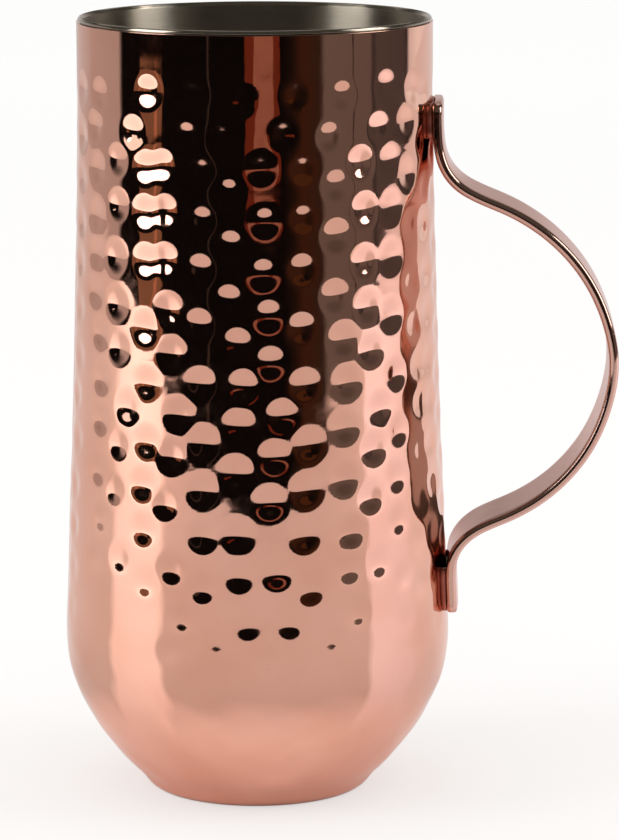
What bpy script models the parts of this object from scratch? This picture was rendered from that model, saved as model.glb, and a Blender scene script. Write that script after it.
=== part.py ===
"""Hammered copper water jug: a copper shell over a steel liner, with a strap handle on +X.

Metres, +Z up. The jug stands on z = 0 and its axis is the Z axis.
"""

import bmesh
import bpy
import numpy as np
from mathutils import Vector

MM = 0.001

# Body
HEIGHT = 240.0 * MM
SEGMENTS = 60
SHELL_WALL = 0.8 * MM
LINER_WALL = 0.6 * MM
FIT_GAP = 0.3 * MM
# Outside of the shell as (radius, height) in millimetres, from the flat of the base to the rim.
SHELL_PROFILE_MM = (
    (31.5, 0.0),
    (33.0, 0.2),
    (34.4, 1.1),
    (36.6, 3.8),
    (40.8, 8.0),
    (46.0, 14.0),
    (51.6, 22.0),
    (56.3, 31.0),
    (58.9, 40.0),
    (59.65, 50.0),
    (59.15, 63.0),
    (58.4, 84.0),
    (57.2, 112.0),
    (55.9, 150.0),
    (54.8, 190.0),
    (54.35, 218.0),
    (54.3, 238.6),
)
SHELL_RINGS = 25

# Base
BASE_HOLE_RADIUS = 24.0 * MM
BRAZE_RING_INNER = 22.0 * MM
BRAZE_RING_OUTER = 26.0 * MM
BRAZE_RING_HEIGHT = 0.8 * MM

# Liner and rim
WALL_SPACE = 2.0 * MM
RIM_SPACE = 0.45 * MM
RIM_SPACE_HEIGHT = 236.5 * MM
FULL_SPACE_HEIGHT = 222.0 * MM
LINER_FLOOR = 4.2 * MM
LINER_FLOOR_RADIUS = 28.5 * MM
LIP_OUTER_RADIUS = 54.0 * MM
LIP_UNDERSIDE = 238.95 * MM
LIP_WIDTH = 0.65 * MM
SOLDER_RING_HEIGHT = 227.0 * MM
SOLDER_RING_HALF = 0.9 * MM

# Handle, along the middle of the strap in the XZ plane, top tab first
STRAP_WIDTH = 30.0 * MM
STRAP_THICKNESS = 3.0 * MM
STRAP_CORNER = 3.0 * MM
STRAP_EDGE = 1.1 * MM
TAB_BOW = 0.5 * MM
STRAP_STEPS = 60
STRAP_PATH_MM = (
    (56.25, 214.7),
    (56.25, 208.0),
    (56.7, 201.3),
    (58.35, 195.0),
    (62.2, 189.8),
    (68.6, 185.8),
    (77.2, 182.1),
    (86.4, 176.8),
    (95.1, 169.3),
    (102.3, 159.8),
    (107.5, 148.3),
    (109.9, 135.8),
    (108.1, 122.5),
    (103.0, 109.9),
    (95.3, 99.5),
    (86.25, 91.9),
    (77.2, 87.0),
    (69.5, 83.5),
    (64.3, 79.4),
    (61.5, 74.6),
    (60.8, 68.8),
    (61.0, 63.0),
    (61.25, 56.8),
)

# Brazing fillets, under both edges and round the end of each tab
BEAD_RADIUS = 0.45 * MM
BEAD_CORNER = 2.2 * MM
BEAD_HALF_WIDTH = 13.2 * MM
UPPER_BEAD_HEIGHTS = (206.0 * MM, 215.5 * MM)
LOWER_BEAD_HEIGHTS = (70.5 * MM, 55.98 * MM)


def clear_scene():
    for obj in list(bpy.data.objects):
        bpy.data.objects.remove(obj, do_unlink=True)


def material(name, colour, roughness, metallic=1.0):
    made = bpy.data.materials.new(name)
    made.use_nodes = True
    shader = made.node_tree.nodes["Principled BSDF"]
    shader.inputs["Base Color"].default_value = (*colour, 1.0)
    shader.inputs["Roughness"].default_value = roughness
    shader.inputs["Metallic"].default_value = metallic
    return made


def natural_spline(points, count):
    """Points spaced evenly along a natural cubic spline through the given 2-D points."""
    points = np.asarray(points, float)
    chord = np.linalg.norm(np.diff(points, axis=0), axis=1)
    knots = np.concatenate([[0.0], np.cumsum(chord)])
    size = len(points)
    system = np.eye(size)
    right = np.zeros_like(points)
    for row in range(1, size - 1):
        before = knots[row] - knots[row - 1]
        after = knots[row + 1] - knots[row]
        system[row, row - 1 : row + 2] = before, 2 * (before + after), after
        rise = (points[row + 1] - points[row]) / after
        fall = (points[row] - points[row - 1]) / before
        right[row] = 6 * (rise - fall)
    bend = np.linalg.solve(system, right)
    at = np.linspace(0.0, knots[-1], count)
    span = np.clip(np.searchsorted(knots, at, side="right") - 1, 0, size - 2)
    width = (knots[span + 1] - knots[span])[:, None]
    past = (at - knots[span])[:, None]
    left = (knots[span + 1] - at)[:, None]
    curve = (bend[span] * left**3 + bend[span + 1] * past**3) / (6 * width)
    curve += (points[span] / width - bend[span] * width / 6) * left
    curve += (points[span + 1] / width - bend[span + 1] * width / 6) * past
    return curve


def unit_tangents(curve):
    steps = np.gradient(curve, axis=0)
    return steps / np.linalg.norm(steps, axis=1)[:, None]


SHELL_OUTSIDE = natural_spline(np.array(SHELL_PROFILE_MM) * MM, SHELL_RINGS)
STRAP_MIDDLE = natural_spline(np.array(STRAP_PATH_MM) * MM, STRAP_STEPS)


def inside_shell(depth):
    """The shell's outside profile moved inward by a depth, which may differ from ring to ring."""
    tangent = unit_tangents(SHELL_OUTSIDE)
    inward = np.stack([-tangent[:, 1], tangent[:, 0]], axis=1)
    return SHELL_OUTSIDE + inward * np.reshape(depth, (-1, 1))


def shell_radius(height):
    """Outside radius of the shell at a height above its rounded bottom."""
    return float(np.interp(height, SHELL_OUTSIDE[:, 1], SHELL_OUTSIDE[:, 0]))


def add_object(name, mesh_maker, made_material, smooth=True):
    grid = bmesh.new()
    mesh_maker(grid)
    bmesh.ops.recalc_face_normals(grid, faces=grid.faces)
    mesh = bpy.data.meshes.new(name)
    grid.to_mesh(mesh)
    grid.free()
    for face in mesh.polygons:
        face.use_smooth = smooth
    mesh.materials.append(made_material)
    obj = bpy.data.objects.new(name, mesh)
    bpy.context.scene.collection.objects.link(obj)
    return obj


def join_loops(grid, loops, closed):
    """Faces between neighbouring loops. A loop of one vertex makes a fan."""
    pairs = list(zip(loops, loops[1:]))
    if closed:
        pairs.append((loops[-1], loops[0]))
    for first, second in pairs:
        size = max(len(first), len(second))
        for k in range(size):
            after = (k + 1) % size
            if len(first) == 1:
                grid.faces.new((first[0], second[k], second[after]))
            elif len(second) == 1:
                grid.faces.new((first[k], second[0], first[after]))
            else:
                grid.faces.new((first[k], second[k], second[after], first[after]))


def turned(profile, closed):
    """A maker of the solid that a (radius, height) profile sweeps about the Z axis."""

    def make(grid):
        loops = []
        for radius, height in profile:
            if radius < 1e-7:
                loops.append([grid.verts.new((0.0, 0.0, height))])
                continue
            angles = np.arange(SEGMENTS) * 2 * np.pi / SEGMENTS
            ring = [
                grid.verts.new((radius * np.cos(a), radius * np.sin(a), height))
                for a in angles
            ]
            loops.append(ring)
        join_loops(grid, loops, closed)

    return make


def lofted(sections):
    """A maker of the solid through closed sections of equal size, with flat ends."""

    def make(grid):
        loops = [[grid.verts.new(point) for point in section] for section in sections]
        join_loops(grid, loops, closed=False)
        grid.faces.new(loops[0])
        grid.faces.new(loops[-1])

    return make


def shell_profile():
    outside = [tuple(point) for point in SHELL_OUTSIDE]
    inside = [tuple(point) for point in inside_shell(SHELL_WALL)]
    hole_edge = [(BASE_HOLE_RADIUS, SHELL_WALL), (BASE_HOLE_RADIUS, 0.0)]
    return hole_edge + outside + inside[::-1]


def disc_profile():
    radius = BASE_HOLE_RADIUS - FIT_GAP
    return [(0.0, 0.0), (radius, 0.0), (radius, SHELL_WALL), (0.0, SHELL_WALL)]


def oval_ring(centre_radius, centre_height, half_wide, half_high, sides):
    angles = np.arange(sides) * 2 * np.pi / sides
    return [
        (centre_radius + half_wide * np.cos(a), centre_height + half_high * np.sin(a))
        for a in angles
    ]


def base_ring_profile():
    middle = (BRAZE_RING_INNER + BRAZE_RING_OUTER) / 2
    half = (BRAZE_RING_OUTER - BRAZE_RING_INNER) / 2
    height = SHELL_WALL + FIT_GAP + BRAZE_RING_HEIGHT / 2
    return oval_ring(middle, height, half, BRAZE_RING_HEIGHT / 2, 10)


def liner_space():
    """Clear space between shell and liner at each ring: full over the body, small at the rim."""
    heights = SHELL_OUTSIDE[:, 1]
    return np.interp(
        heights, [FULL_SPACE_HEIGHT, RIM_SPACE_HEIGHT], [WALL_SPACE, RIM_SPACE]
    )


def liner_walls():
    """Outside and inside of the liner's wall, from the edge of its floor to under the lip."""
    space = liner_space()
    outer = inside_shell(SHELL_WALL + space)
    inner = inside_shell(SHELL_WALL + space + LINER_WALL)
    outer = outer[(outer[:, 1] > LINER_FLOOR + 1.2 * MM) & (outer[:, 1] < LIP_UNDERSIDE)]
    floor_top = LINER_FLOOR + LINER_WALL
    inner = inner[(inner[:, 1] > floor_top + 1.2 * MM) & (inner[:, 1] < LIP_UNDERSIDE)]
    return outer, inner


def liner_profile():
    outer, inner = liner_walls()
    neck = outer[-1, 0]
    mouth = inner[-1, 0]
    crown = LIP_OUTER_RADIUS - LIP_WIDTH
    rise = HEIGHT - LIP_UNDERSIDE
    rounded = [
        (crown + LIP_WIDTH * np.cos(a), LIP_UNDERSIDE + rise * np.sin(a))
        for a in np.linspace(0.0, np.pi / 2, 5)
    ]
    lip = [(neck, LIP_UNDERSIDE), *rounded, (mouth + 0.35 * MM, HEIGHT - 0.7 * MM)]
    floor_under = [(0.0, LINER_FLOOR), (LINER_FLOOR_RADIUS, LINER_FLOOR)]
    floor_over = [
        (LINER_FLOOR_RADIUS, LINER_FLOOR + LINER_WALL),
        (0.0, LINER_FLOOR + LINER_WALL),
    ]
    walls_up = [tuple(point) for point in outer]
    walls_down = [tuple(point) for point in inner[::-1]]
    return floor_under + walls_up + lip + walls_down + floor_over


def solder_profile():
    """Seal ring midway between the two walls, just under the rim."""
    shell_inside = shell_radius(SOLDER_RING_HEIGHT) - SHELL_WALL
    space = np.interp(
        SOLDER_RING_HEIGHT,
        [FULL_SPACE_HEIGHT, RIM_SPACE_HEIGHT],
        [WALL_SPACE, RIM_SPACE],
    )
    half = space / 2 - FIT_GAP
    return oval_ring(shell_inside - space / 2, SOLDER_RING_HEIGHT, half, SOLDER_RING_HALF, 8)


def strap_section(half_width, half_thickness, bow):
    """Bar with rounded edges, bowed towards the body, as (across, through) points."""
    edge = min(STRAP_EDGE, 0.95 * half_thickness)
    reach = half_width - edge
    rise = half_thickness - edge
    corner = [
        (reach + edge * np.cos(a), rise + edge * np.sin(a))
        for a in np.linspace(0.0, np.pi / 2, 4)
    ]
    right = [(across, -through) for across, through in corner[::-1]] + corner
    left = [(-across, through) for across, through in right[::-1]]
    inner_face = [(reach * t, half_thickness) for t in (0.5, 0.0, -0.5)]
    outer_face = [(reach * t, -half_thickness) for t in (-0.5, 0.0, 0.5)]
    flat = right + inner_face + left + outer_face
    return [
        (across, through + bow * (2 * across / STRAP_WIDTH) ** 2) for across, through in flat
    ]


def strap_sections():
    tangent = unit_tangents(STRAP_MIDDLE)
    steps = np.linalg.norm(np.diff(STRAP_MIDDLE, axis=0), axis=1)
    along = np.concatenate([[0.0], np.cumsum(steps)])
    to_end = np.minimum(along, along[-1] - along)
    stations = [(0.0, STRAP_MIDDLE[0], tangent[0])]
    for inset in (0.35 * MM, 1.1 * MM, 2.0 * MM):
        stations.append((inset, STRAP_MIDDLE[0] + tangent[0] * inset, tangent[0]))
    for k in range(len(along)):
        if to_end[k] > 2.5 * MM:
            stations.append((to_end[k], STRAP_MIDDLE[k], tangent[k]))
    for inset in (2.0 * MM, 1.1 * MM, 0.35 * MM, 0.0):
        stations.append((inset, STRAP_MIDDLE[-1] - tangent[-1] * inset, tangent[-1]))
    return [strap_ring(*station) for station in stations]


def strap_ring(to_end, middle, tangent):
    short = max(STRAP_CORNER - to_end, 0.0)
    half_width = STRAP_WIDTH / 2 - STRAP_CORNER + np.sqrt(STRAP_CORNER**2 - short**2)
    thin = max(1.1 * MM - to_end, 0.0) / (1.1 * MM)
    half_thickness = STRAP_THICKNESS / 2 * (1 - 0.35 * thin**2)
    bow = np.interp(to_end, (12 * MM, 32 * MM), (TAB_BOW, 0.0))
    through = Vector((tangent[1], 0.0, -tangent[0]))
    centre = Vector((middle[0], 0.0, middle[1]))
    return [
        centre + Vector((0.0, across, 0.0)) + through * depth
        for across, depth in strap_section(half_width, half_thickness, bow)
    ]


def bead_path(open_end, closed_end):
    """Middle of a U-shaped fillet as (y, z) points, lying just off the shell."""
    toward = 1.0 if closed_end > open_end else -1.0
    turn_y = BEAD_HALF_WIDTH - BEAD_CORNER
    turn_z = closed_end - toward * BEAD_CORNER
    side = [(BEAD_HALF_WIDTH, z) for z in np.linspace(open_end, turn_z, 4)[:-1]]
    angles = np.linspace(0.0, np.pi / 2, 6)
    corner = [
        (turn_y + BEAD_CORNER * np.cos(a), turn_z + toward * BEAD_CORNER * np.sin(a))
        for a in angles
    ]
    half = side + corner + [(turn_y / 2, closed_end)]
    return half + [(0.0, closed_end)] + [(-y, z) for y, z in half[::-1]]


def bead_sections(open_end, closed_end):
    points = []
    for across, height in bead_path(open_end, closed_end):
        radius = shell_radius(height) + FIT_GAP + BEAD_RADIUS
        points.append((np.sqrt(radius**2 - across**2), across, height))
    points = np.array(points)
    tangent = unit_tangents(points)
    sections = []
    for k, point in enumerate(points):
        outward = Vector((point[0], point[1], 0.0)).normalized()
        ahead = Vector(tangent[k])
        outward = (outward - ahead * outward.dot(ahead)).normalized()
        beside = ahead.cross(outward)
        radius = BEAD_RADIUS * (0.55 if k in (0, len(points) - 1) else 1.0)
        angles = np.arange(8) * np.pi / 4
        ring = [
            Vector(point) + outward * (radius * np.cos(a)) + beside * (radius * np.sin(a))
            for a in angles
        ]
        sections.append(ring)
    return sections


def build():
    copper = (0.955, 0.52, 0.38)
    steel = (0.62, 0.61, 0.59)
    solder = (0.50, 0.49, 0.46)
    braze = (0.86, 0.50, 0.33)
    turned_parts = (
        ("outer_shell", shell_profile(), True, copper, 0.08),
        ("base_disc", disc_profile(), False, copper, 0.15),
        ("base_braze_ring", base_ring_profile(), True, braze, 0.4),
        ("inner_liner", liner_profile(), False, steel, 0.3),
        ("rim_solder_ring", solder_profile(), True, solder, 0.45),
    )
    for name, profile, closed, colour, roughness in turned_parts:
        made = material(name + "_metal", colour, roughness)
        add_object(name, turned(profile, closed), made, smooth=name != "base_disc")
    lofted_parts = (
        ("handle_strap", strap_sections(), copper, 0.1),
        ("upper_handle_braze", bead_sections(*UPPER_BEAD_HEIGHTS), braze, 0.35),
        ("lower_handle_braze", bead_sections(*LOWER_BEAD_HEIGHTS), braze, 0.35),
    )
    for name, sections, colour, roughness in lofted_parts:
        made = material(name + "_metal", colour, roughness)
        add_object(name, lofted(sections), made)


clear_scene()
build()
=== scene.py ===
"""Looks of the hammered copper water jug: marked copper shell, brushed steel liner, strap handle.

The jug stands on z = 0 with its axis on Z and its handle on +X. The front is seen along +Y.
"""

import bpy
import numpy as np
from mathutils import Matrix, Vector


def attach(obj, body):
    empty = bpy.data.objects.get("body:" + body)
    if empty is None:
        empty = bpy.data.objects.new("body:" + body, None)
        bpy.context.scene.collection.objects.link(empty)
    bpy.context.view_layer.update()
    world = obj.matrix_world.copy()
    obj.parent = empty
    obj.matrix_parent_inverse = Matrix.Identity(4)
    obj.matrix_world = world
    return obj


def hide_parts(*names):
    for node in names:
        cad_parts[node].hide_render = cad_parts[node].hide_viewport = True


BODY = "root"
MM = 0.001
SEED = 11

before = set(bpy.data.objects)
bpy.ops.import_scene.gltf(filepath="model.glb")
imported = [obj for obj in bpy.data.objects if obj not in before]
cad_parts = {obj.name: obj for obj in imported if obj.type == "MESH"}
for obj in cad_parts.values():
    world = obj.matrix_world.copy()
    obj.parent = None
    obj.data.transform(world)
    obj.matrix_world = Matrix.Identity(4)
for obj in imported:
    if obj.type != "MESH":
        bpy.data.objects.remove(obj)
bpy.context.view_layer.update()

# Shell: outside as (radius, height) in millimetres, the same curve as the solid
SHELL_PROFILE_MM = (
    (31.5, 0.0),
    (33.0, 0.2),
    (34.4, 1.1),
    (36.6, 3.8),
    (40.8, 8.0),
    (46.0, 14.0),
    (51.6, 22.0),
    (56.3, 31.0),
    (58.9, 40.0),
    (59.65, 50.0),
    (59.15, 63.0),
    (58.4, 84.0),
    (57.2, 112.0),
    (55.9, 150.0),
    (54.8, 190.0),
    (54.35, 218.0),
    (54.3, 238.6),
)
SHELL_WALL = 0.8
BASE_HOLE_RADIUS = 24.0
SHELL_COLUMNS = 384
WIDEST_RADIUS = 59.62
FINE_STEP = 1.0
COARSE_STEP = 1.7
FINE_FROM = 40.0
FINE_TO = 231.0
INSIDE_RINGS = 22
RIM_EDGE = 0.12

# The front faces the camera, which stands this many degrees from -Y towards the handle
FRONT_TWIST = 2.4

# Hammer marks: (azimuth in degrees from the front towards the handle, height in millimetres,
# and how hard the blow was where it differs from its neighbours)
MARK_RADIUS = 6.8
MARK_DEPTH = 0.59
MARK_LIP_HEIGHT = 0.01
MARK_LIP_WIDTH = 1.0
WAVE_COUNT = 14
WAVE_TURNS = (7, 24)
WAVE_LENGTHS = (11, 26)
WAVE_DEPTH = 0.014
WAVE_OFFSET = 3.0
WAVE_HEIGHTS = (2, 9, 38, 54, 95, 225, 232)
WAVE_SHARES = (0.0, 2.8, 2.8, 0.9, 0.3, 0.3, 0.0)
STRENGTH_HEIGHTS = (46, 58, 64, 77, 92, 184, 200, 225)
STRENGTHS = (0.34, 0.42, 0.52, 0.76, 1.0, 1.0, 0.92, 0.85)
LIGHT_AZIMUTHS = (-30, -19, 30, 36)
LIGHT_HEIGHTS = (120, 150, 190, 222)
LIGHT_STRENGTHS = (0.96, 0.84, 0.68, 0.58)
LIFT_HEIGHTS = (50, 64, 90, 125)
LIFTS = (2.2, 1.8, 0.9, 0.0)
FRONT_MARKS = (
    ((-58, 219), (-61, 209), (-59.5, 196.5), (-60, 182.5), (-59.5, 171), (-60, 159.5)),
    ((-56.5, 147), (-55.5, 133.5), (-55.5, 121), (-56, 105), (-54, 90, 0.8), (-57, 77, 0.8)),
    ((-48, 200), (-47.5, 186.5), (-48.5, 171), (-47.5, 157), (-46.5, 144), (-42.5, 126.5)),
    ((-46, 114.5, 0.9), (-47.5, 100, 0.85), (-44.5, 79)),
    ((-35, 221.5), (-41, 209), (-36, 199), (-36, 185.5), (-35.5, 171), (-35.5, 151)),
    ((-35, 134.5), (-34.5, 116.5), (-36, 103), (-35.5, 89), (-34.5, 72.5, 0.85)),
    ((-29.5, 200), (-28.5, 186.5), (-28.5, 172), (-27.5, 157), (-26, 144), (-23.5, 126)),
    ((-26, 113), (-28, 98, 0.85), (-25.5, 78, 0.93), (-22, 62.5, 0.82), (-26, 52)),
    ((-19, 221, 0.8), (-21, 209, 0.9), (-16, 198.5, 0.75), (-16, 184, 0.85), (-16.5, 169.5, 0.9)),
    ((-17, 153, 0.88), (-16.5, 135.5, 0.9), (-15.5, 117.5), (-15.5, 103), (-15.5, 89, 1.05)),
    ((-15.5, 72.5, 0.88), (-11, 56, 0.92)),
    ((-3.5, 219.5), (-9.5, 208.5), (-7.5, 192.5), (-7, 177), (-7.5, 160.5, 0.9), (-5, 147.5)),
    ((-3, 135), (-4.5, 123, 0.93), (-5.5, 108.5), (-5, 89.5, 1.08), (-4.5, 77, 1.12)),
    ((-2, 61.5, 0.95), (13.5, 221), (9.5, 209.5), (2.5, 199.5, 1.1), (3.5, 184, 1.05)),
    ((3, 168.5), (4.5, 156, 0.93), (5, 142, 0.92), (8.5, 126), (6, 113.5), (4.5, 99.5)),
    ((6.5, 77.5, 1.14), (10, 61.5, 0.86), (3.5, 50, 1.6)),
    ((15.5, 199, 0.88), (15.5, 184.5, 0.84), (15, 169.5, 0.87), (14.5, 152, 0.85)),
    ((15.5, 135, 0.87), (16.5, 117, 0.93), (15.5, 103), (15, 89), (16.5, 72, 0.87)),
    ((22.5, 56, 1.24), (29, 220.5), (24.5, 208.5), (26.5, 194, 1.05), (26.5, 179, 1.08)),
    ((25.5, 161), (28.5, 148, 1.05), (29.5, 135, 1.05), (28.5, 121.5), (28, 105.5)),
    ((29.5, 89), (29, 77.5, 1.1), (31.5, 63, 0.91)),
    ((46.5, 222.5, 0.5), (43, 210, 0.72), (35.5, 200, 1.02), (37, 186, 1.01), (36.5, 170.5, 1.0)),
    ((37.5, 157), (38.5, 144), (42, 126), (39, 114), (37, 99), (39.5, 78, 0.95)),
    ((48, 200, 0.66), (48.5, 186, 0.76), (48, 171, 0.88), (47.5, 153.5), (49, 135.5)),
    ((49.5, 118, 0.9), (48, 103.5, 0.88), (48, 90, 0.8), (50, 72, 0.8), (51, 58, 0.8)),
    ((61.5, 220), (57, 210.5, 0.85), (57, 195), (58.5, 180), (58.5, 162), (59.5, 149)),
    ((61, 136.5), (62, 125), (61.5, 110), (60.5, 95), (58, 82), (60, 68)),
)
BACK_FROM = 71.0
BACK_TO = 289.0
BACK_COLUMNS = 21
BACK_PITCH = 13.4
BACK_TOP = 219.0
BACK_BOTTOM = 54.0
BACK_SCATTER = 1.2
BACK_AZIMUTH_SCATTER = 1.3
BACK_TOP_SCATTER = 1.5

# Liner and lip
LINER_WALL = 0.6
WALL_SPACE = 2.0
RIM_SPACE = 0.45
RIM_SPACE_HEIGHT = 236.5
FULL_SPACE_HEIGHT = 222.0
LINER_FLOOR = 4.2
LINER_FLOOR_RADIUS = 28.5
LIP_OUTER_RADIUS = 54.0
LIP_UNDERSIDE = 238.95
LIP_WIDTH = 0.65
HEIGHT = 240.0
LINER_COLUMNS = 192
LINER_RING_STEP = 3

# Handle, along the middle of the strap in the XZ plane, top tab first
STRAP_WIDTH = 30.0
STRAP_THICKNESS = 3.0
STRAP_CORNER = 3.0
STRAP_EDGE = 1.4
STRAP_END_ROUND = 1.1
STRAP_END_THINNING = 0.35
TAB_BOW = 0.5
TAB_BOW_FADE = (12, 32)
INSIDE_CAD = 0.005
STRAP_CENTRE = (0.0, 0.0, 0.135)
# Painted shade near the tabs: it begins this far above or below the strap's middle, in metres, and is
# full at the second
GAP_SHADE_FROM = (0.050, 0.060)
# Painted shade: colour of the strap's face towards the body, darker and greyer than the polished
# copper
INNER_FACE_PAINTED_SHADE = (0.62, 0.45, 0.405)
INNER_FACE_ROUGHNESS = 0.08
# Painted shade: dark red tone standing in for the shaded gap between strap and shell near the tabs
GAP_PAINTED_SHADE_TONE = (0.45, 0.19, 0.14)
STRAP_PATH_MM = (
    (56.25, 214.7),
    (56.25, 208.0),
    (56.7, 201.3),
    (58.35, 195.0),
    (62.2, 189.8),
    (68.6, 185.8),
    (77.2, 182.1),
    (86.4, 176.8),
    (95.1, 169.3),
    (102.3, 159.8),
    (107.5, 148.3),
    (109.9, 135.8),
    (108.1, 122.5),
    (103.0, 109.9),
    (95.3, 99.5),
    (86.25, 91.9),
    (77.2, 87.0),
    (69.5, 83.5),
    (64.3, 79.4),
    (61.5, 74.6),
    (60.8, 68.8),
    (61.0, 63.0),
    (61.25, 56.8),
)

# Brazing fillets between shell and strap, round the two edges and the end of each tab
FILLET_CLEARANCE = 0.06
FILLET_HALF = 1.3
FILLET_CORNER = 2.2
FILLET_REACH = 13.0
UPPER_FILLET = (204.0, 213.1)
LOWER_FILLET = (71.0, 58.4)

# Floor that the camera sees: it partly glows, a painted light that softens its shadows, and has a
# painted shade a little darker and warmer near the jug
FLOOR_NEAR_PAINTED_SHADE = (0.95, 0.935, 0.925)
FLOOR_FAR = (0.985, 0.985, 0.98)
FLOOR_GLOW = 0.6
FLOOR_TONE_FADE = (0.1, 2.2)
FLOOR_REACH = 60.0

# Floor that the copper reflects: painted pools of light and painted shade as tones by azimuth round a
# point just in front of the axis, and a painted shade near the jug
WEDGE_APEX = -0.03
TABLE_NEAR_PAINTED_SHADE = (0.85, 0.76, 0.74)
TABLE_PAINTED_LIGHT_TONES = (
    (-180, (0.75, 0.70, 0.70)),
    (-150, (0.67, 0.63, 0.625)),
    (-128, (0.62, 0.57, 0.56)),
    (-97, (0.60, 0.555, 0.53)),
    (-92, (0.93, 0.85, 0.84)),
    (-61, (0.93, 0.85, 0.84)),
    (-56, (0.56, 0.505, 0.49)),
    (69, (0.56, 0.505, 0.49)),
    (73, (0.80, 0.745, 0.79)),
    (100, (0.78, 0.72, 0.76)),
    (106, (0.75, 0.69, 0.69)),
    (180, (0.75, 0.70, 0.70)),
)
TABLE_FADE = (0.058, 0.118)
TABLE_FRONT = 0.8
TABLE_WIDENING_ANGLE = 60.0
TABLE_LEFT_WIDENING = 0.44
TABLE_LEFT_POWER = 1.2
TABLE_RIGHT_WIDENING = 0.47
TABLE_RIGHT_POWER = 1.65
TABLE_CORNERS = 72
TABLE_LIFT = 0.0002

# The room as mirrors see it: tones by azimuth, low down and higher up
DARK = (0.0035, 0.003, 0.003)
ROOM_LOW = (
    (-180, (0.68, 0.64, 0.63)),
    (-134, (0.53, 0.50, 0.50)),
    (-130, (0.49, 0.44, 0.43)),
    (-97, (0.43, 0.39, 0.38)),
    (-94, DARK),
    (18, DARK),
    (25, (0.012, 0.007, 0.005)),
    (31, (0.04, 0.016, 0.008)),
    (43, (0.03, 0.018, 0.012)),
    (46, (0.137, 0.122, 0.112)),
    (80, (0.127, 0.112, 0.104)),
    (82.5, (0.03, 0.028, 0.028)),
    (85, (0.08, 0.072, 0.07)),
    (113, (0.065, 0.058, 0.056)),
    (116, (0.02, 0.018, 0.018)),
    (118.5, (0.68, 0.67, 0.67)),
    (130, (0.88, 0.87, 0.87)),
    (180, (0.68, 0.64, 0.63)),
)
ROOM_HIGH = (
    (-180, (0.60, 0.585, 0.58)),
    (-160, (0.58, 0.55, 0.54)),
    (-130, (0.42, 0.38, 0.375)),
    (-110, (0.34, 0.29, 0.29)),
    (-105, DARK),
    (27, DARK),
    (44, (0.02, 0.012, 0.009)),
    (47, (0.10, 0.088, 0.08)),
    (113, (0.065, 0.058, 0.056)),
    (117, (0.38, 0.34, 0.33)),
    (150, (0.42, 0.38, 0.37)),
    (180, (0.60, 0.585, 0.58)),
)
CEILING = (0.075, 0.072, 0.062)
ROOM_HIGH_FROM = (-1.5, 4.0)
CEILING_FROM = (8.0, 18.0)
PALE_SKY = (0.985, 0.985, 0.98)

# Camera: turned by the front twist, raised by its elevation, and looking at its aim
CAMERA_AIM = (0.0164, 0.0, 0.1148)
CAMERA_DISTANCE = 1.254
CAMERA_ELEVATION = 10.56
CAMERA_ROLL = -0.146
CAMERA_LENS = 173.4
CAMERA_SENSOR = 36.0


# ---------------------------------------------------------------- curves


def natural_spline(points, at):
    """Points at the given chord lengths of a natural cubic spline through 2-D points."""
    points = np.asarray(points, float)
    knots = chord_lengths(points)
    size = len(points)
    system = np.eye(size)
    right = np.zeros_like(points)
    for row in range(1, size - 1):
        before = knots[row] - knots[row - 1]
        after = knots[row + 1] - knots[row]
        system[row, row - 1 : row + 2] = before, 2 * (before + after), after
        rise = (points[row + 1] - points[row]) / after
        fall = (points[row] - points[row - 1]) / before
        right[row] = 6 * (rise - fall)
    bend = np.linalg.solve(system, right)
    at = np.asarray(at, float)
    span = np.clip(np.searchsorted(knots, at, side="right") - 1, 0, size - 2)
    width = (knots[span + 1] - knots[span])[:, None]
    past = (at - knots[span])[:, None]
    left = (knots[span + 1] - at)[:, None]
    curve = (bend[span] * left**3 + bend[span + 1] * past**3) / (6 * width)
    curve += (points[span] / width - bend[span] * width / 6) * left
    curve += (points[span + 1] / width - bend[span + 1] * width / 6) * past
    return curve


def chord_lengths(points):
    chord = np.linalg.norm(np.diff(np.asarray(points, float), axis=0), axis=1)
    return np.concatenate([[0.0], np.cumsum(chord)])


def unit_tangents(curve):
    steps = np.gradient(curve, axis=0)
    return steps / np.linalg.norm(steps, axis=1)[:, None]


def profile_rows():
    """Rows of the shell's outside in millimetres, close together where the marks are."""
    dense = natural_spline(SHELL_PROFILE_MM, np.linspace(0, chord_lengths(SHELL_PROFILE_MM)[-1], 4000))
    along = chord_lengths(dense)
    low = np.interp(FINE_FROM, dense[:, 1], along)
    high = np.interp(FINE_TO, dense[:, 1], along)
    parts = ((0.0, low, COARSE_STEP), (low, high, FINE_STEP), (high, along[-1], COARSE_STEP))
    stations = []
    for start, end, step in parts:
        count = int(np.ceil((end - start) / step))
        stations += list(np.linspace(start, end, count, endpoint=False))
    stations = np.array([*stations, along[-1] - RIM_EDGE, along[-1]])
    rows = [np.interp(stations, along, dense[:, k]) for k in (0, 1)]
    return np.stack(rows, axis=1), stations


def moved_in(curve, depth):
    """A (radius, height) curve moved towards the inside of the jug."""
    tangent = unit_tangents(curve)
    inward = np.stack([-tangent[:, 1], tangent[:, 0]], axis=1)
    return curve + inward * np.reshape(depth, (-1, 1))


# ---------------------------------------------------------------- meshes


def add_piece(name, points_mm, faces, node, made_material):
    mesh = bpy.data.meshes.new(name)
    mesh.from_pydata((np.asarray(points_mm) * MM).tolist(), [], faces)
    mesh.validate()
    mesh.polygons.foreach_set("use_smooth", [True] * len(mesh.polygons))
    mesh.materials.append(made_material)
    piece = bpy.data.objects.new(name, mesh)
    bpy.context.scene.collection.objects.link(piece)
    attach(piece, BODY)
    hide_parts(node)
    return piece


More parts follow.
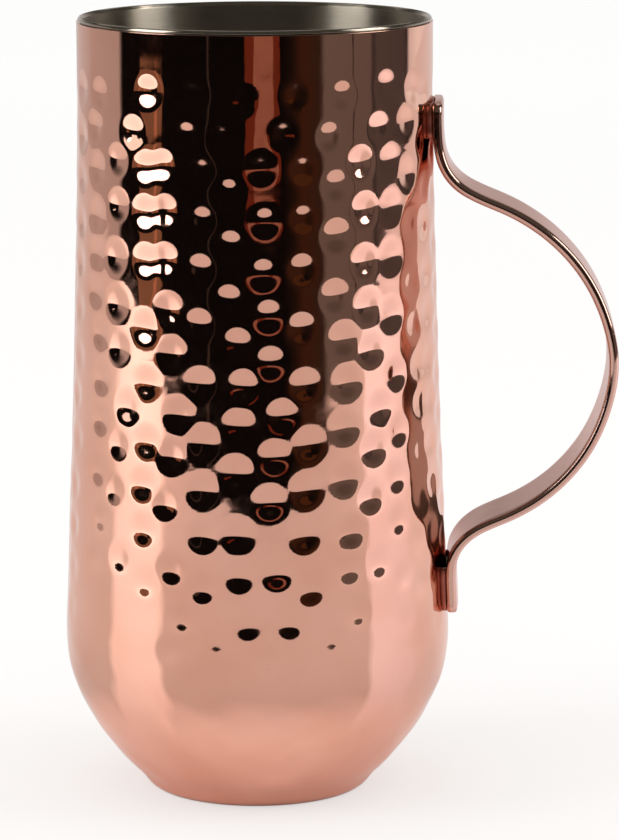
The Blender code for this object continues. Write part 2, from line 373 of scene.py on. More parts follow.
def grid_faces(rows, columns, first=0):
    """Quads between neighbouring rings of equal size that follow one another."""
    faces = []
    for row in range(rows - 1):
        low = first + row * columns
        high = low + columns
        for k in range(columns):
            after = (k + 1) % columns
            faces.append((low + k, low + after, high + after, high + k))
    return faces


def turned(profile, columns):
    """Rings of points that a (radius, height) profile sweeps about Z."""
    angle = np.arange(columns) * 2 * np.pi / columns
    rings = []
    for radius, height in profile:
        ring = [radius * np.cos(angle), radius * np.sin(angle), np.full(columns, height)]
        rings.append(np.stack(ring, axis=1))
    return np.concatenate(rings)


def closing_faces(rows, columns):
    """Quads from the last ring back to the first."""
    last = (rows - 1) * columns
    return [
        (last + k, last + (k + 1) % columns, (k + 1) % columns, k) for k in range(columns)
    ]


# ---------------------------------------------------------------- shell


def all_marks():
    """Every hammer mark as (azimuth in degrees, height, radius, depth)."""
    chance = np.random.default_rng(SEED)
    placed = []
    for azimuth, height, *blow in [mark for group in FRONT_MARKS for mark in group]:
        lift = np.interp(height, LIFT_HEIGHTS, LIFTS)
        placed.append((azimuth + FRONT_TWIST, height + lift, blow[0] if blow else 1.0))
    step = (BACK_TO - BACK_FROM) / (BACK_COLUMNS - 1)
    for column in range(BACK_COLUMNS):
        stagger = BACK_PITCH / 2 if column % 2 else 0.0
        top = BACK_TOP - stagger + chance.uniform(-BACK_TOP_SCATTER, BACK_TOP_SCATTER)
        for height in np.arange(top, BACK_BOTTOM, -BACK_PITCH):
            aside = chance.uniform(-BACK_AZIMUTH_SCATTER, BACK_AZIMUTH_SCATTER)
            azimuth = BACK_FROM + column * step + aside
            placed.append((azimuth, height + chance.uniform(-BACK_SCATTER, BACK_SCATTER), 1.0))
    marks = []
    for azimuth, height, blow in placed:
        strength = np.interp(height, STRENGTH_HEIGHTS, STRENGTHS) * blow
        lightly = np.interp(azimuth, LIGHT_AZIMUTHS, (0, 1, 1, 0))
        strength *= 1 - lightly * (1 - np.interp(height, LIGHT_HEIGHTS, LIGHT_STRENGTHS))
        size = MARK_RADIUS * (0.8 + 0.2 * strength) * chance.uniform(0.95, 1.05)
        depth = MARK_DEPTH * strength * chance.uniform(0.88, 1.1)
        marks.append((azimuth, height, size, depth))
    return marks


def dent_field(rows, stations):
    """How far each point of the shell's outside is pushed in, in millimetres."""
    azimuth = np.arange(SHELL_COLUMNS) * 360.0 / SHELL_COLUMNS
    field = np.zeros((len(rows), SHELL_COLUMNS))
    heights = rows[:, 1]
    for centre_azimuth, height, size, depth in all_marks():
        station = np.interp(height, heights, stations)
        near = np.abs(stations - station) < size + 3 * MARK_LIP_WIDTH
        apart = (azimuth + 90.0 - centre_azimuth + 180.0) % 360.0 - 180.0
        across = np.radians(apart)[None, :] * rows[near, 0][:, None]
        along = (stations[near] - station)[:, None]
        away = np.sqrt(across**2 + along**2)
        reach = np.clip(1 - (away / size) ** 2, 0, None)
        raised = np.exp(-(((away - 0.9 * size) / MARK_LIP_WIDTH) ** 2))
        field[near] += depth * (reach**3 - MARK_LIP_HEIGHT / MARK_DEPTH * raised)
    return field + waviness(rows, stations, azimuth)


def waviness(rows, stations, azimuth):
    """Shallow planishing waves over the lower body, fading out at the base."""
    chance = np.random.default_rng(SEED + 1)
    angle = np.radians(azimuth)[None, :]
    waves = np.zeros((len(rows), len(azimuth)))
    for _ in range(WAVE_COUNT):
        turns = chance.integers(*WAVE_TURNS)
        length = chance.uniform(*WAVE_LENGTHS)
        phase = chance.uniform(0, 2 * np.pi, 2)
        round_wave = np.cos(turns * angle + phase[0])
        waves += round_wave * np.cos(2 * np.pi * stations[:, None] / length + phase[1])
    fade = np.interp(rows[:, 1], WAVE_HEIGHTS, WAVE_SHARES)
    return WAVE_DEPTH * (waves + WAVE_OFFSET) * fade[:, None]


def shell_points():
    rows, stations = profile_rows()
    field = dent_field(rows, stations)
    tangent = unit_tangents(rows)
    radius = rows[:, :1] - field * tangent[:, 1:2]
    height = rows[:, 1:2] + field * tangent[:, :1]
    angle = np.arange(SHELL_COLUMNS) * 2 * np.pi / SHELL_COLUMNS
    radius = np.minimum(radius, WIDEST_RADIUS)
    points = [radius * np.cos(angle), radius * np.sin(angle), height + 0 * radius]
    outside = np.stack(points, axis=2).reshape(-1, 3)
    keep = np.linspace(len(rows) - 1, 0, INSIDE_RINGS).astype(int)
    inside = moved_in(rows, SHELL_WALL)[keep]
    hole = [(BASE_HOLE_RADIUS, SHELL_WALL), (BASE_HOLE_RADIUS, 0.0)]
    inner = turned([*inside, *hole], SHELL_COLUMNS)
    return np.concatenate([outside, inner]), len(rows) + INSIDE_RINGS + len(hole)


def add_shell():
    points, rings = shell_points()
    faces = grid_faces(rings, SHELL_COLUMNS) + closing_faces(rings, SHELL_COLUMNS)
    return add_piece(
        "outer_shell_hammered", points, faces, "outer_shell", hammered_copper()
    )


# ---------------------------------------------------------------- liner


def liner_profile():
    rows, _ = profile_rows()
    rows = rows[::LINER_RING_STEP]
    space = np.interp(
        rows[:, 1], [FULL_SPACE_HEIGHT, RIM_SPACE_HEIGHT], [WALL_SPACE, RIM_SPACE]
    )
    outer = moved_in(rows, SHELL_WALL + space)
    inner = moved_in(rows, SHELL_WALL + space + LINER_WALL)
    outer = outer[(outer[:, 1] > LINER_FLOOR + 1.2) & (outer[:, 1] < LIP_UNDERSIDE - 0.3)]
    floor_top = LINER_FLOOR + LINER_WALL
    inner = inner[(inner[:, 1] > floor_top + 1.2) & (inner[:, 1] < LIP_UNDERSIDE - 0.3)]
    neck = outer[-1, 0]
    mouth = inner[-1, 0]
    crown = LIP_OUTER_RADIUS - LIP_WIDTH
    rise = HEIGHT - LIP_UNDERSIDE
    rounded = [
        (crown + LIP_WIDTH * np.cos(a), LIP_UNDERSIDE + rise * np.sin(a))
        for a in np.linspace(0.0, np.pi / 2, 15)
    ]
    throat = [
        (crown - 0.2, HEIGHT - 0.06),
        (mouth + 0.56, HEIGHT - 0.32),
        (mouth + 0.35, HEIGHT - 0.7),
        (mouth + 0.12, HEIGHT - 1.05),
    ]
    under = [(0.01, LINER_FLOOR), (LINER_FLOOR_RADIUS, LINER_FLOOR)]
    over = [(LINER_FLOOR_RADIUS, floor_top), (0.01, floor_top)]
    walls = [*outer, (neck, LIP_UNDERSIDE - 0.12), (neck + 0.12, LIP_UNDERSIDE)]
    shelf = [(LIP_OUTER_RADIUS - 0.1, LIP_UNDERSIDE)]
    return [*under, *walls, *shelf, *rounded, *throat, *inner[::-1], *over]


def add_liner():
    profile = liner_profile()
    points = turned(profile, LINER_COLUMNS)
    faces = grid_faces(len(profile), LINER_COLUMNS) + closing_faces(len(profile), LINER_COLUMNS)
    return add_piece(
        "steel_liner", points, faces, "inner_liner", brushed_steel()
    )


# ---------------------------------------------------------------- handle


def strap_section(half_width, half_thickness, bow):
    """Bar with rounded edges, bowed towards the body, as (across, through) points."""
    edge = min(STRAP_EDGE, 0.95 * half_thickness)
    reach = half_width - edge
    rise = half_thickness - edge
    corner = [
        (reach + edge * np.cos(a), rise + edge * np.sin(a))
        for a in np.linspace(0.0, np.pi / 2, 9)
    ]
    right = [(across, -through) for across, through in corner[::-1]] + [(half_width, 0.0)] + corner
    left = [(-across, through) for across, through in right[::-1]]
    inner_face = [(reach * t, half_thickness) for t in np.linspace(1, -1, 11)[1:-1]]
    outer_face = [(reach * t, -half_thickness) for t in np.linspace(-1, 1, 11)[1:-1]]
    flat = right + inner_face + left + outer_face
    return [
        (across, through + bow * (2 * across / STRAP_WIDTH) ** 2) for across, through in flat
    ]


def strap_stations():
    length = chord_lengths(STRAP_PATH_MM)[-1]
    middle = natural_spline(STRAP_PATH_MM, np.linspace(0, length, 260))
    along = chord_lengths(middle)
    insets = np.array([0.0, 0.08, 0.3, 0.6, 1.0, 1.5, 2.1, 2.8])
    inner = np.linspace(3.6, along[-1] - 3.6, 240)
    wanted = np.concatenate([insets, inner, along[-1] - insets[::-1]])
    rows = np.stack([np.interp(wanted, along, middle[:, k]) for k in (0, 1)], axis=1)
    tangent = unit_tangents(middle)
    turned_to = np.stack([np.interp(wanted, along, tangent[:, k]) for k in (0, 1)], axis=1)
    turned_to /= np.linalg.norm(turned_to, axis=1)[:, None]
    return wanted, rows, turned_to, along[-1]


def add_handle():
    wanted, rows, tangents, length = strap_stations()
    points = []
    for place, middle, tangent in zip(wanted, rows, tangents):
        to_end = min(place, length - place)
        short = max(STRAP_CORNER - to_end, 0.0)
        half_width = STRAP_WIDTH / 2 - STRAP_CORNER + np.sqrt(STRAP_CORNER**2 - short**2)
        thin = max(STRAP_END_ROUND - to_end, 0.0) / STRAP_END_ROUND
        half_thickness = (STRAP_THICKNESS / 2 - INSIDE_CAD) * (1 - STRAP_END_THINNING * thin**2)
        bow = np.interp(to_end, TAB_BOW_FADE, (TAB_BOW, 0.0))
        for across, through in strap_section(half_width, half_thickness, bow):
            points.append(
                (middle[0] + tangent[1] * through, across, middle[1] - tangent[0] * through)
            )
    size = len(points) // len(wanted)
    faces = grid_faces(len(wanted), size)
    faces.append(tuple(range(size))[::-1])
    faces.append(tuple(range(len(points) - size, len(points))))
    return add_piece(
        "strap_handle", points, faces, "handle_strap", handle_copper()
    )


# ---------------------------------------------------------------- fillets


def fillet_path(open_end, closed_end):
    """Middle of a U-shaped fillet as (y, z) points."""
    toward = 1.0 if closed_end > open_end else -1.0
    turn_y = FILLET_REACH - FILLET_CORNER
    turn_z = closed_end - toward * FILLET_CORNER
    side = [(FILLET_REACH, z) for z in np.linspace(open_end, turn_z, 12)[:-1]]
    corner = [
        (turn_y + FILLET_CORNER * np.cos(a), turn_z + toward * FILLET_CORNER * np.sin(a))
        for a in np.linspace(0.0, np.pi / 2, 12)
    ]
    straight = [(turn_y * t, closed_end) for t in np.linspace(1, 0, 10)[1:]]
    half = side + corner + straight
    return np.array(half + [(-y, z) for y, z in half[-2::-1]])


def strap_inside(across, height):
    """X of the strap's inner face on a tab."""
    path = np.array(STRAP_PATH_MM)[::-1]
    middle = np.interp(height, path[:, 1], path[:, 0])
    return middle - STRAP_THICKNESS / 2 - TAB_BOW * (2 * across / STRAP_WIDTH) ** 2


def add_fillet(name, node, heights, made_material):
    """Brazing metal that fills the space between shell and strap along a U-shaped path."""
    rows, _ = profile_rows()
    path = fillet_path(*heights)
    tangents = unit_tangents(path)
    steps = np.linspace(-1, 1, 7)
    points = []
    for k, (place, ahead) in enumerate(zip(path, tangents)):
        to_end = min(k, len(path) - 1 - k)
        half = FILLET_HALF * min(1.0, 0.75 + 0.12 * to_end)
        beside = np.array((ahead[1], -ahead[0]))
        strip = [place + beside * half * step for step in steps]
        on_shell = []
        on_strap = []
        for across, height in strip:
            radius = np.interp(height, rows[:, 1], rows[:, 0]) + FILLET_CLEARANCE
            low = np.sqrt(radius**2 - across**2)
            high = max(strap_inside(across, height) - FILLET_CLEARANCE, low + 0.1)
            on_shell.append((low, across, height))
            on_strap.append((high, across, height))
        points += on_shell + on_strap[::-1]
    size = 2 * len(steps)
    faces = grid_faces(len(path), size)
    faces.append(tuple(range(size))[::-1])
    faces.append(tuple(range(len(points) - size, len(points))))
    return add_piece(name, points, faces, node, made_material)


# ---------------------------------------------------------------- materials


class Nodes:
    """A new material's node tree, with short calls for adding and joining nodes."""

    def __init__(self, name):
        self.material = bpy.data.materials.new(name)
        self.material.use_nodes = True
        self.tree = self.material.node_tree
        self.shader = self.tree.nodes["Principled BSDF"]
        self.coords = self.add("ShaderNodeTexCoord").outputs["Object"]

    def add(self, kind, **settings):
        node = self.tree.nodes.new(kind)
        for key, value in settings.items():
            setattr(node, key, value)
        return node

    def link(self, source, target):
        self.tree.links.new(source, target)

    def noise(self, scale, detail=3.0, roughness=0.55, stretch=(1, 1, 1), coords=None):
        place = self.add("ShaderNodeMapping")
        place.inputs["Scale"].default_value = stretch
        self.link(coords or self.coords, place.inputs["Vector"])
        made = self.add("ShaderNodeTexNoise")
        made.inputs["Scale"].default_value = scale
        made.inputs["Detail"].default_value = detail
        made.inputs["Roughness"].default_value = roughness
        self.link(place.outputs["Vector"], made.inputs["Vector"])
        return made.outputs["Fac"]

    def ramp(self, value, stops):
        made = self.add("ShaderNodeValToRGB")
        while len(made.color_ramp.elements) < len(stops):
            made.color_ramp.elements.new(0.5)
        for element, (place, colour) in zip(made.color_ramp.elements, stops):
            element.position = place
            element.color = (*colour, 1.0)
        self.link(value, made.inputs["Fac"])
        return made.outputs["Color"]

    def between(self, value, low, high, start=0.0, end=1.0, smooth=False):
        kind = "SMOOTHSTEP" if smooth else "LINEAR"
        made = self.add("ShaderNodeMapRange", interpolation_type=kind)
        made.inputs["From Min"].default_value = start
        made.inputs["From Max"].default_value = end
        made.inputs["To Min"].default_value = low
        made.inputs["To Max"].default_value = high
        self.link(value, made.inputs["Value"])
        return made.outputs["Result"]

    def mix(self, share, below, above):
        """One colour changing over to another plain colour by a share."""
        made = self.add("ShaderNodeMix", data_type="RGBA")
        self.link(share, made.inputs["Factor"])
        self.link(below, made.inputs["A"])
        made.inputs["B"].default_value = (*above, 1.0)
        return made.outputs["Result"]

    def bump(self, height, strength, distance):
        made = self.add("ShaderNodeBump")
        made.inputs["Strength"].default_value = strength
        made.inputs["Distance"].default_value = distance
        self.link(height, made.inputs["Height"])
        return made.outputs["Normal"]

    def around(self):
        """Coordinates that run quickly with height and slowly round the axis."""
        split = self.add("ShaderNodeSeparateXYZ")
        self.link(self.coords, split.inputs["Vector"])
        turn = self.add("ShaderNodeMath", operation="ARCTAN2")
        self.link(split.outputs["Y"], turn.inputs[0])
        self.link(split.outputs["X"], turn.inputs[1])
        joined = self.add("ShaderNodeCombineXYZ")
        self.link(turn.outputs["Value"], joined.inputs["X"])
        self.link(split.outputs["Z"], joined.inputs["Z"])
        return joined.outputs["Vector"]


def copper_nodes(name, light, dark, rough_low, rough_high):
    """Polished copper with faint cloudy toning and uneven gloss."""
    nodes = Nodes(name)
    cloud = nodes.noise(42.0, detail=4.0)
    nodes.link(nodes.ramp(cloud, ((0.3, dark), (0.7, light))), nodes.shader.inputs["Base Color"])
    gloss = nodes.noise(310.0, detail=5.0)
    spread = nodes.between(gloss, rough_low, rough_high, 0.3, 0.7)
    nodes.link(spread, nodes.shader.inputs["Roughness"])
    nodes.shader.inputs["Metallic"].default_value = 1.0
    return nodes


def hammered_copper():
    nodes = copper_nodes(
        "hammered copper", (0.91, 0.532, 0.412), (0.85, 0.468, 0.348), 0.025, 0.06
    )
    hairlines = nodes.noise(700.0, detail=2.0, stretch=(1, 1, 0.12))
    ripple = nodes.bump(hairlines, 0.06, 0.0001)
    nodes.link(ripple, nodes.shader.inputs["Normal"])
    return nodes.material


def handle_copper():
    """Polished copper, rougher on the face towards the body with a painted shade in its colour there,
    and a darker red painted shade near the tabs.
    """
    nodes = copper_nodes(
        "handle copper", (0.79, 0.52, 0.435), (0.73, 0.46, 0.38), 0.05, 0.11
    )
    inward = nodes.add("ShaderNodeVectorMath", operation="SUBTRACT")
    inward.inputs[0].default_value = STRAP_CENTRE
    nodes.link(nodes.coords, inward.inputs[1])
    unit = nodes.add("ShaderNodeVectorMath", operation="NORMALIZE")
    nodes.link(inward.outputs["Vector"], unit.inputs[0])
    facing = nodes.add("ShaderNodeVectorMath", operation="DOT_PRODUCT")
    nodes.link(unit.outputs["Vector"], facing.inputs[0])
    nodes.link(nodes.add("ShaderNodeNewGeometry").outputs["Normal"], facing.inputs[1])
    inner = nodes.between(facing.outputs["Value"], 0.0, 1.0, 0.3, 0.55)
    split = nodes.add("ShaderNodeSeparateXYZ")
    nodes.link(inward.outputs["Vector"], split.inputs["Vector"])
    rise = nodes.add("ShaderNodeMath", operation="ABSOLUTE")
    nodes.link(split.outputs["Z"], rise.inputs[0])
    near_tab = nodes.between(rise.outputs["Value"], 0.0, 1.0, *GAP_SHADE_FROM)
    # Painted shade near the tabs, on the face towards the body
    gap_shaded = nodes.add("ShaderNodeMath", operation="MULTIPLY")
    nodes.link(inner, gap_shaded.inputs[0])
    nodes.link(near_tab, gap_shaded.inputs[1])
    polished = nodes.shader.inputs["Base Color"].links[0].from_socket
    # Painted shade on the face towards the body
    inner_face_shaded = nodes.mix(inner, polished, INNER_FACE_PAINTED_SHADE)
    tone = nodes.mix(gap_shaded.outputs["Value"], inner_face_shaded, GAP_PAINTED_SHADE_TONE)
    nodes.link(tone, nodes.shader.inputs["Base Color"])
    gloss = nodes.shader.inputs["Roughness"].links[0].from_socket
    rougher = nodes.add("ShaderNodeMath", operation="MULTIPLY_ADD")
    nodes.link(inner, rougher.inputs[0])
    rougher.inputs[1].default_value = INNER_FACE_ROUGHNESS
    nodes.link(gloss, rougher.inputs[2])
    nodes.link(rougher.outputs["Value"], nodes.shader.inputs["Roughness"])
    nodes.shader.inputs["Specular Tint"].default_value = (0.92, 0.735, 0.69, 1.0)
    brushed = nodes.noise(260.0, detail=4.0, stretch=(0.18, 9.0, 0.18))
    ripple = nodes.bump(brushed, 0.06, 0.0001)
    nodes.link(ripple, nodes.shader.inputs["Normal"])
    return nodes.material


def base_copper():
    nodes = copper_nodes("base copper", (0.86, 0.50, 0.38), (0.72, 0.38, 0.27), 0.10, 0.3)
    scuffs = nodes.noise(900.0, detail=3.0, stretch=(1, 0.1, 1))
    nodes.link(nodes.bump(scuffs, 0.2, 0.0001), nodes.shader.inputs["Normal"])
    return nodes.material


def brazing_metal():
    nodes = copper_nodes("brazing metal", (0.60, 0.22, 0.17), (0.44, 0.14, 0.10), 0.3, 0.45)
    dimples = nodes.noise(1400.0, detail=2.0)
    nodes.link(nodes.bump(dimples, 0.25, 0.0001), nodes.shader.inputs["Normal"])
    return nodes.material


def solder():
    nodes = copper_nodes("seam solder", (0.54, 0.53, 0.50), (0.40, 0.39, 0.36), 0.35, 0.55)
    dimples = nodes.noise(1100.0, detail=3.0)
    nodes.link(nodes.bump(dimples, 0.3, 0.0001), nodes.shader.inputs["Normal"])
    return nodes.material


def brushed_steel():
    """Steel brushed round the inside, with a polished lip."""
    nodes = Nodes("brushed steel")
    around = nodes.around()
    lines = nodes.noise(1.0, detail=6.0, roughness=0.7, stretch=(3.0, 1, 5200.0), coords=around)
    tone = nodes.ramp(lines, ((0.3, (0.37, 0.325, 0.265)), (0.7, (0.50, 0.445, 0.365))))
    nodes.link(tone, nodes.shader.inputs["Base Color"])
    split = nodes.add("ShaderNodeSeparateXYZ")
    nodes.link(nodes.coords, split.inputs["Vector"])
    low, high = LIP_UNDERSIDE * MM - 0.0001, LIP_UNDERSIDE * MM
    on_lip = nodes.between(split.outputs["Z"], 0.0, 1.0, low, high)
    brushed = nodes.between(lines, 0.36, 0.46, 0.3, 0.7)
    gloss = nodes.add("ShaderNodeMix", data_type="FLOAT")
    nodes.link(on_lip, gloss.inputs["Factor"])
    nodes.link(brushed, gloss.inputs["A"])
    gloss.inputs["B"].default_value = 0.16
    nodes.link(gloss.outputs["Result"], nodes.shader.inputs["Roughness"])
    nodes.link(nodes.bump(lines, 0.2, 0.00005), nodes.shader.inputs["Normal"])
    nodes.shader.inputs["Metallic"].default_value = 1.0
    nodes.shader.inputs["Anisotropic"].default_value = 1.0
    nodes.shader.inputs["Anisotropic Rotation"].default_value = 0.25
    tangent = nodes.add("ShaderNodeTangent", direction_type="RADIAL", axis="Z")
    nodes.link(tangent.outputs["Tangent"], nodes.shader.inputs["Tangent"])
    return nodes.material


def dress(node, made_material):
    """Gives a CAD node its finish without touching its shape."""
    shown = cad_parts[node]
    shown.data.materials.clear()
    shown.data.materials.append(made_material)


# ---------------------------------------------------------------- studio


def only_in_reflections(obj):
    obj.visible_camera = False
    obj.visible_diffuse = False
    obj.visible_shadow = False
    obj.visible_transmission = False


def stage_mesh(name, points, faces, made_material):
    mesh = bpy.data.meshes.new(name)
    mesh.from_pydata(points, [], faces)
    mesh.materials.append(made_material)
    obj = bpy.data.objects.new(name, mesh)
    bpy.context.scene.collection.objects.link(obj)
    return obj


def floor_material():
    """Pale floor that partly glows as painted light, with a painted shade a little darker and warmer
    near the jug, almost white far from it.
    """
    nodes = Nodes("pale floor")
    far = nodes.add("ShaderNodeVectorMath", operation="LENGTH")
    nodes.link(nodes.coords, far.inputs[0])
    tone = nodes.between(far.outputs["Value"], 0.0, 1.0, *FLOOR_TONE_FADE)
    lit = nodes.ramp(tone, ((0.0, FLOOR_NEAR_PAINTED_SHADE), (1.0, FLOOR_FAR)))
    # Painted light: the floor glows with its own tone
    nodes.link(lit, nodes.shader.inputs["Emission Color"])
    nodes.shader.inputs["Emission Strength"].default_value = FLOOR_GLOW
    dimmed = nodes.add("ShaderNodeMix", data_type="RGBA", blend_type="MULTIPLY")
    dimmed.inputs["Factor"].default_value = 1.0
    dimmed.inputs["B"].default_value = (1 - FLOOR_GLOW,) * 3 + (1.0,)
    nodes.link(lit, dimmed.inputs["A"])
    nodes.link(dimmed.outputs["Result"], nodes.shader.inputs["Base Color"])
    nodes.shader.inputs["Roughness"].default_value = 0.9
    nodes.shader.inputs["Specular IOR Level"].default_value = 0.0
    return nodes.material


def table_material():
    """The floor as the copper shows it: two painted pools of light, painted shade darker and warmer
    between them, and painted shade near the jug.
    """
    nodes = Nodes("pale table")
    split = nodes.add("ShaderNodeSeparateXYZ")
    nodes.link(nodes.coords, split.inputs["Vector"])
    ahead = nodes.add("ShaderNodeMath", operation="SUBTRACT")
    ahead.inputs[0].default_value = WEDGE_APEX
    nodes.link(split.outputs["Y"], ahead.inputs[1])
    turn = nodes.add("ShaderNodeMath", operation="ARCTAN2")
    nodes.link(split.outputs["X"], turn.inputs[0])
    nodes.link(ahead.outputs["Value"], turn.inputs[1])
    low, high = np.radians((-180 + FRONT_TWIST, 180 + FRONT_TWIST))
    part = nodes.between(turn.outputs["Value"], 0.0, 1.0, low, high)
    stops = [((azimuth + 180) / 360, colour) for azimuth, colour in TABLE_PAINTED_LIGHT_TONES]
    # Painted pools of light, and painted shade between them, by azimuth
    far_tone = nodes.ramp(part, stops)
    away = nodes.add("ShaderNodeVectorMath", operation="LENGTH")
    nodes.link(nodes.coords, away.inputs[0])
    mixed = nodes.add("ShaderNodeMix", data_type="RGBA")
    far_share = nodes.between(away.outputs["Value"], 0.0, 1.0, *TABLE_FADE, smooth=True)
    nodes.link(far_share, mixed.inputs["Factor"])
    # Painted shade near the jug
    mixed.inputs["A"].default_value = (*TABLE_NEAR_PAINTED_SHADE, 1.0)
    nodes.link(far_tone, mixed.inputs["B"])
    nodes.link(mixed.outputs["Result"], nodes.shader.inputs["Base Color"])
    nodes.shader.inputs["Roughness"].default_value = 0.9
    nodes.shader.inputs["Specular IOR Level"].default_value = 0.0
    return nodes.material


def table_edge():
    """Edge of the table that mirrors see: nearest in front, and farther out on the right."""
    azimuth = np.linspace(-180, 180, TABLE_CORNERS, endpoint=False)
    turned_away = np.abs(azimuth) / TABLE_WIDENING_ANGLE
    left = TABLE_LEFT_WIDENING * turned_away**TABLE_LEFT_POWER
    right = TABLE_RIGHT_WIDENING * turned_away**TABLE_RIGHT_POWER
    away = TABLE_FRONT + np.where(azimuth < 0, left, right)
    angle = np.radians(azimuth)
    return np.stack([away * np.sin(angle), -away * np.cos(angle)], axis=1)


def add_floor():
    reach = FLOOR_REACH
    corners = [(-reach, -reach, 0), (reach, -reach, 0), (reach, reach, 0), (-reach, reach, 0)]
    floor = stage_mesh("floor", corners, [(0, 1, 2, 3)], floor_material())
    floor.visible_glossy = False
    twist = Matrix.Rotation(np.radians(FRONT_TWIST), 3, "Z")
    points = [tuple(twist @ Vector((x, y, TABLE_LIFT))) for x, y in table_edge()]
    faces = [tuple(range(len(points)))]
    table = stage_mesh("floor_in_reflections", points, faces, table_material())
    only_in_reflections(table)


def glowing(name, colour):
    made = bpy.data.materials.new(name)
    made.use_nodes = True
    tree = made.node_tree
    tree.nodes.clear()
    light = tree.nodes.new("ShaderNodeEmission")
    light.inputs["Color"].default_value = (*colour, 1.0)
    out = tree.nodes.new("ShaderNodeOutputMaterial")
    tree.links.new(light.outputs["Emission"], out.inputs["Surface"])
    return made


def add_panel(name, azimuths, heights, colour, distance):
    """An upright panel of the studio, between two azimuths in degrees and two heights."""
    turns = np.radians(np.linspace(azimuths[0] + FRONT_TWIST, azimuths[1] + FRONT_TWIST, 9))
    points = [
        (distance * np.sin(a), -distance * np.cos(a), height) for height in heights for a in turns
    ]
    faces = [(k, k + 1, k + 10, k + 9) for k in range(8)]
    panel = stage_mesh(name, points, faces, glowing(name, colour))
    only_in_reflections(panel)


def add_world():
    """A pale world. Only mirror reflections see a room in it, by azimuth and by elevation."""
    world = bpy.data.worlds.new("studio")
    bpy.context.scene.world = world
    world.use_nodes = True
    nodes = WorldNodes(world)
    low = nodes.by_azimuth(ROOM_LOW)
    high = nodes.by_azimuth(ROOM_HIGH)
    room = nodes.mix(low, high, ROOM_HIGH_FROM)
    room = nodes.mix(room, CEILING, CEILING_FROM)
    nodes.finish(room, PALE_SKY)


class WorldNodes:
    """The world's node tree, with short calls for tones by direction."""

    def __init__(self, world):
        self.tree = world.node_tree
        self.tree.nodes.clear()
        self.split = self.add("ShaderNodeSeparateXYZ")
        coords = self.add("ShaderNodeTexCoord").outputs["Generated"]
        self.link(coords, self.split.inputs["Vector"])
        front = self.add("ShaderNodeMath", operation="MULTIPLY")
        front.inputs[1].default_value = -1.0
        self.link(self.split.outputs["Y"], front.inputs[0])
        turn = self.add("ShaderNodeMath", operation="ARCTAN2")
        self.link(self.split.outputs["X"], turn.inputs[0])
        self.link(front.outputs["Value"], turn.inputs[1])
        self.part = self.add("ShaderNodeMapRange")
        self.part.inputs["From Min"].default_value = np.radians(-180 + FRONT_TWIST)
        self.part.inputs["From Max"].default_value = np.radians(180 + FRONT_TWIST)
        self.link(turn.outputs["Value"], self.part.inputs["Value"])

    def add(self, kind, **settings):
        node = self.tree.nodes.new(kind)
        for key, value in settings.items():
            setattr(node, key, value)
        return node

    def link(self, source, target):
        self.tree.links.new(source, target)

    def by_azimuth(self, tones):
        ramp = self.add("ShaderNodeValToRGB")
        while len(ramp.color_ramp.elements) < len(tones):
            ramp.color_ramp.elements.new(0.5)
        for element, (azimuth, colour) in zip(ramp.color_ramp.elements, tones):
            element.position = (azimuth + 180) / 360
            element.color = (*colour, 1.0)
        self.link(self.part.outputs["Result"], ramp.inputs["Fac"])
        return ramp.outputs["Color"]

    def mix(self, below, above, elevations):
        """Below, then above, changing over between two elevations in degrees."""
        share = self.add("ShaderNodeMapRange")
        share.inputs["From Min"].default_value = np.sin(np.radians(elevations[0]))
        share.inputs["From Max"].default_value = np.sin(np.radians(elevations[1]))
        self.link(self.split.outputs["Z"], share.inputs["Value"])
        mixed = self.add("ShaderNodeMix", data_type="RGBA")
        self.link(share.outputs["Result"], mixed.inputs["Factor"])
        self.link(below, mixed.inputs["A"])
        if isinstance(above, tuple):
            mixed.inputs["B"].default_value = (*above, 1.0)
        else:
            self.link(above, mixed.inputs["B"])
        return mixed.outputs["Result"]

    def finish(self, room, pale_colour):
        seen = self.add("ShaderNodeBackground")
        self.link(room, seen.inputs["Color"])
        pale = self.add("ShaderNodeBackground")
        pale.inputs["Color"].default_value = (*pale_colour, 1.0)
        which = self.add("ShaderNodeMixShader")
        self.link(self.add("ShaderNodeLightPath").outputs["Is Glossy Ray"], which.inputs[0])
        self.link(pale.outputs["Background"], which.inputs[1])
        self.link(seen.outputs["Background"], which.inputs[2])
        self.link(which.outputs["Shader"], self.add("ShaderNodeOutputWorld").inputs["Surface"])


def add_softbox(name, azimuth, elevation, size, power, distance=1.5):
    """A soft rectangular light that faces the jug."""
    light = bpy.data.lights.new(name, "AREA")
    light.shape = "RECTANGLE"
    light.size, light.size_y = size
    light.energy = power
    turn = np.radians(azimuth + FRONT_TWIST)
    rise = np.radians(elevation)
    away = Vector((np.sin(turn) * np.cos(rise), -np.cos(turn) * np.cos(rise), np.sin(rise)))
    lamp = bpy.data.objects.new(name, light)
    lamp.location = Vector((0, 0, 0.12)) + away * distance
    lamp.rotation_euler = away.to_track_quat("Z", "Y").to_euler()
    bpy.context.scene.collection.objects.link(lamp)
    return lamp


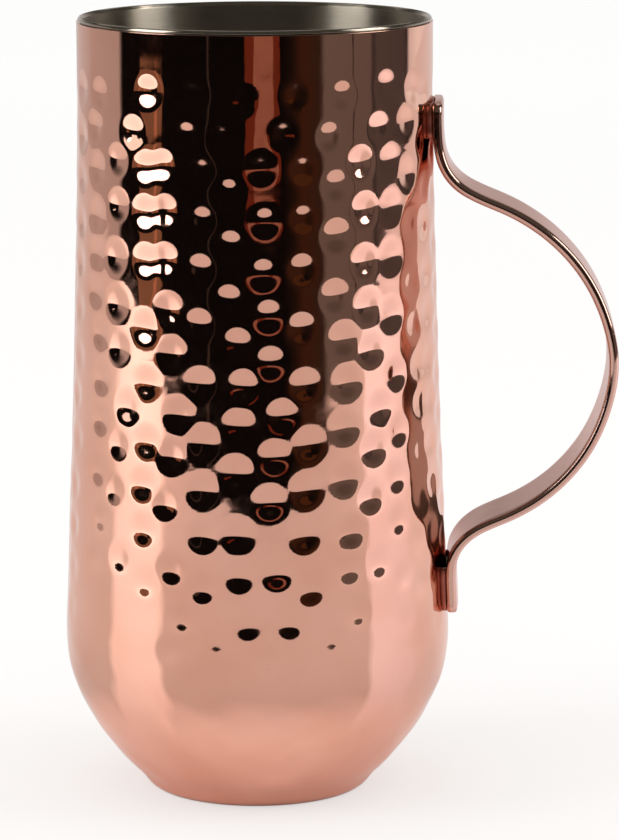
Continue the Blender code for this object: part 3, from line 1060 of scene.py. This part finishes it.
def add_studio():
    add_floor()
    add_world()
    add_panel("warm_wall_edge", (-5.5, 16), (0.070, 0.135), (0.12, 0.025, 0.012), 1.5)
    add_panel("warm_wall", (0, 12), (0.074, 0.125), (0.265, 0.12, 0.082), 1.48)
    add_panel("amber_shelf", (28, 40), (0.19, 0.30), (0.055, 0.022, 0.008), 1.6)
    add_panel("post_edge", (-65.5, -63.5), (-0.3, 0.078), (0.42, 0.19, 0.11), 1.58)
    add_panel("tripod_leg", (-29.4, -28.2), (-0.3, 0.30), (0.04, 0.032, 0.028), 1.6)
    add_panel("wall_seam", (65.0, 65.8), (-0.3, 0.30), (0.03, 0.02, 0.018), 1.6)
    add_panel("rear_skylight", (140, 232), (0.55, 2.3), (0.60, 0.56, 0.53), 0.6)
    add_panel("left_lamp", (-88, -80), (0.16, 0.36), (1.3, 1.25, 1.2), 1.55)
    add_panel("right_glow", (90, 97), (0.5, 1.6), (2.6, 2.4, 2.1), 1.6)
    add_panel("wooden_post", (-77, -60), (-0.3, 0.078), (0.20, 0.11, 0.065), 1.6)
    add_softbox("left_softbox", -72, 22, (0.75, 0.95), 8.0)
    add_softbox("right_softbox", 81, 25, (0.62, 0.95), 5.6)


def add_camera():
    data = bpy.data.cameras.new("camera")
    data.lens = CAMERA_LENS
    data.sensor_width = CAMERA_SENSOR
    data.sensor_fit = "AUTO"
    data.clip_start = 0.05
    data.clip_end = 200.0
    camera = bpy.data.objects.new("camera", data)
    turn = Matrix.Rotation(np.radians(FRONT_TWIST), 4, "Z")
    tilt = Matrix.Rotation(np.radians(90 - CAMERA_ELEVATION), 4, "X")
    roll = Matrix.Rotation(np.radians(CAMERA_ROLL), 4, "Z")
    back = Matrix.Translation((0, 0, CAMERA_DISTANCE))
    camera.matrix_world = Matrix.Translation(CAMERA_AIM) @ turn @ tilt @ roll @ back
    bpy.context.scene.collection.objects.link(camera)
    bpy.context.scene.camera = camera


def build():
    add_shell()
    add_liner()
    add_handle()
    braze = brazing_metal()
    add_fillet("upper_fillet", "upper_handle_braze", UPPER_FILLET, braze)
    add_fillet("lower_fillet", "lower_handle_braze", LOWER_FILLET, braze)
    dress("base_disc", base_copper())
    dress("base_braze_ring", braze)
    dress("rim_solder_ring", solder())
    add_studio()
    add_camera()
    bpy.context.scene.view_settings.view_transform = "Standard"


build()
bpy.context.view_layer.update()
